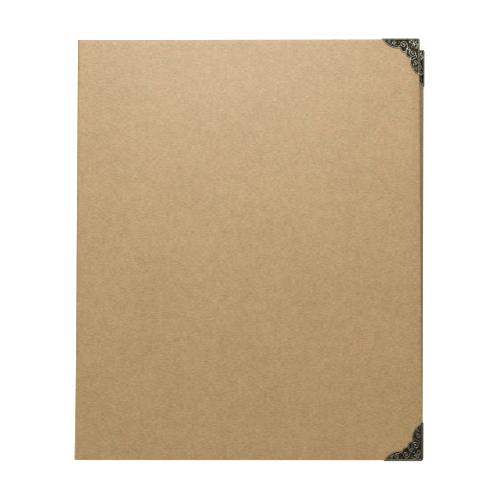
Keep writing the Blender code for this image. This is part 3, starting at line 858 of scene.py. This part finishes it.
# The levers: a stamped tongue under the housing's end, bent up to a broad round thumb tab.  The
# outline gives (way out, way up) from the lever's pin and the half width there, in mm.
lever_line = [(-3.5, -0.4), (-1.0, -0.4), (1.2, -0.4), (2.0, -0.22), (3.4, 0.55), (5.0, 1.4),
              (8.0, 3.0), (10.4, 4.25), (11.2, 4.6), (11.9, 4.8), (12.4, 4.9)]
lever_width = [4.5, 4.5, 4.5, 4.5, 4.5, 4.5, 4.5, 4.3, 3.9, 3.2, 2.2]
lever_place, lever_height, lever_metal = 118.5, 5.8, 1.1 * MM
for end, sign in ENDS.items():
    bm = bmesh.new()
    rows = []
    for (along, up), half in zip(lever_line, lever_width):
        spot = Vector((RING_MIDDLE.x, RING_MIDDLE.y + sign * (lever_place + along) * MM,
                       (lever_height + up) * MM))
        rows.append([bm.verts.new(spot + Vector((x * half * MM, 0, 0))) for x in np.linspace(-1, 1, 9)])
    loft(bm, rows)
    lever = built(f"opening_lever_{end}", bm)
    finish_sheet(lever, lever_metal, flip=lever.data.polygons[0].normal.z < 0)
    settle(lever, 30)
    bevel_edges(lever, 0.3 * MM, 40, segments=3)
    paint(lever, nickel)
    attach(lever, f"{end}_lever")
    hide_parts(f"lever_{end}")

# ---- Leaves ------------------------------------------------------------------------------------
# Sixteen leaves of black card, 0.4 mm thick, with rounded corners and three punched holes that
# hang on the rings.  Each sheet lies a little differently, as card does.
LEAF_HOLE = 3.75                # a hole's radius; a leaf is laid out in mm about its middle hole
LEAF_MARGIN = 11.2              # bound edge to the line of holes
LEAF_WIDTH = 200.0
LEAF_HALF = 127.0
LEAF_CORNER = 3.0
LEAF_CARD = 0.4
LEAF_TILT = math.radians(1.8)   # the leaves lean down from the bound edge to the fore-edge

black_card = Finish("black_card", Roughness=0.86)
felt = black_card.noise(black_card.place(), 1.7, 4.0, 0.65)
drift = black_card.noise(black_card.place(), 0.05, 2.0)
black_card.feed(black_card.shader, {
    "Base Color": black_card.mix(0.7 * felt + 0.3 * drift, (0.012, 0.012, 0.013),
                                 (0.045, 0.044, 0.044)),
    "Roughness": black_card.between(felt, 0.3, 0.7, 0.78, 0.92)})
black_card.bump(felt, depth=0.07, strength=0.5)


def rounded_sheet(left, right, half, radius):
    """The outline of a sheet with round corners, anticlockwise."""
    right, left, far = right - radius, left + radius, half - radius
    line = []
    for x, y, first in ((right, -far, -90), (right, far, 0), (left, far, 90), (left, -far, 180)):
        for i in range(7):
            turn = math.radians(first + 15 * i)
            line.append((x + radius * math.cos(turn), y + radius * math.sin(turn), 0))
    return line


def punched_hole(y):
    """The outline of the hole at y on the line of holes."""
    turns = [math.radians(angle) for angle in range(0, 360, 12)]
    return [(LEAF_HOLE * math.cos(turn), y + LEAF_HOLE * math.sin(turn), 0) for turn in turns]


def leaf_card():
    """One flat leaf about its middle hole, cut into strips so that it can bend."""
    sheet = bpy.data.curves.new("leaf", "CURVE")
    sheet.dimensions = "2D"
    sheet.fill_mode = "BOTH"
    sheet.extrude = LEAF_CARD / 2
    poly_line(sheet, rounded_sheet(-LEAF_MARGIN, LEAF_WIDTH - LEAF_MARGIN, LEAF_HALF, LEAF_CORNER),
              closed=True)
    for y in RING_ROWS.values():
        poly_line(sheet, punched_hole(y / MM), closed=True)
    card = solid_curve("leaf", sheet)
    bpy.ops.object.mode_set(mode="EDIT")
    for x in np.arange(8, 188, 15):
        bpy.ops.mesh.select_all(action="SELECT")
        bpy.ops.mesh.bisect(plane_co=(x, 0, 0), plane_no=(1, 0, 0))
    for y in (-100, -75, -50, -25, 0.5, 25, 50, 75, 100):
        bpy.ops.mesh.select_all(action="SELECT")
        bpy.ops.mesh.bisect(plane_co=(0, y, 0), plane_no=(0, 1, 0))
    bpy.ops.mesh.select_all(action="SELECT")
    bpy.ops.mesh.remove_doubles(threshold=0.001)
    bpy.ops.mesh.normals_make_consistent(inside=False)
    bpy.ops.object.mode_set(mode="OBJECT")
    mesh = card.data
    bpy.data.objects.remove(card)
    return mesh


flat_leaf = leaf_card()
for number in range(1, 17):
    low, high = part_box(f"leaf_{number:02d}")
    leaf_mesh = flat_leaf.copy()
    bound = Vector((low[0], 0, high[2] - LEAF_CARD * MM * math.cos(LEAF_TILT) / 2))
    wave = 0.07 * math.sin(2.4 * number)        # each leaf's own slight wave
    for vert in leaf_mesh.vertices:
        x, y, z = vert.co
        bend = wave * math.sin(x / 60.0) + 0.05 * math.sin(x / 38.0) * math.sin(y / 52.0 + number)
        along = (x + LEAF_MARGIN) * MM
        thick = (z + bend * min(1.0, max(0.0, x / 20.0))) * MM      # flat beside the rings
        vert.co = (bound.x + along * math.cos(LEAF_TILT) + thick * math.sin(LEAF_TILT),
                   RING_MIDDLE.y + y * MM,
                   bound.z - along * math.sin(LEAF_TILT) + thick * math.cos(LEAF_TILT))
    leaf = bpy.data.objects.new(f"card_leaf_{number:02d}", leaf_mesh)
    bpy.context.scene.collection.objects.link(leaf)
    paint(leaf, black_card)
    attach(leaf, f"leaf_{number:02d}")
    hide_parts(f"leaf_{number:02d}")

# ---- Hand-over --------------------------------------------------------------------------------
# Boards, liners and blades keep the shapes that the frame gives them, and get their finish here.
# The pieces made above stand in for the rest.
finishes = {"kraft_paper": kraft, "antique_bronze": aged, "plated_steel": nickel,
            "black_card": black_card, "black_liner": black_liner, "grey_board": grey_board}
for row in frame["record"]["subparts"]:
    paint(frame["nodes"][row["node"]], finishes[row["material_slot"]])
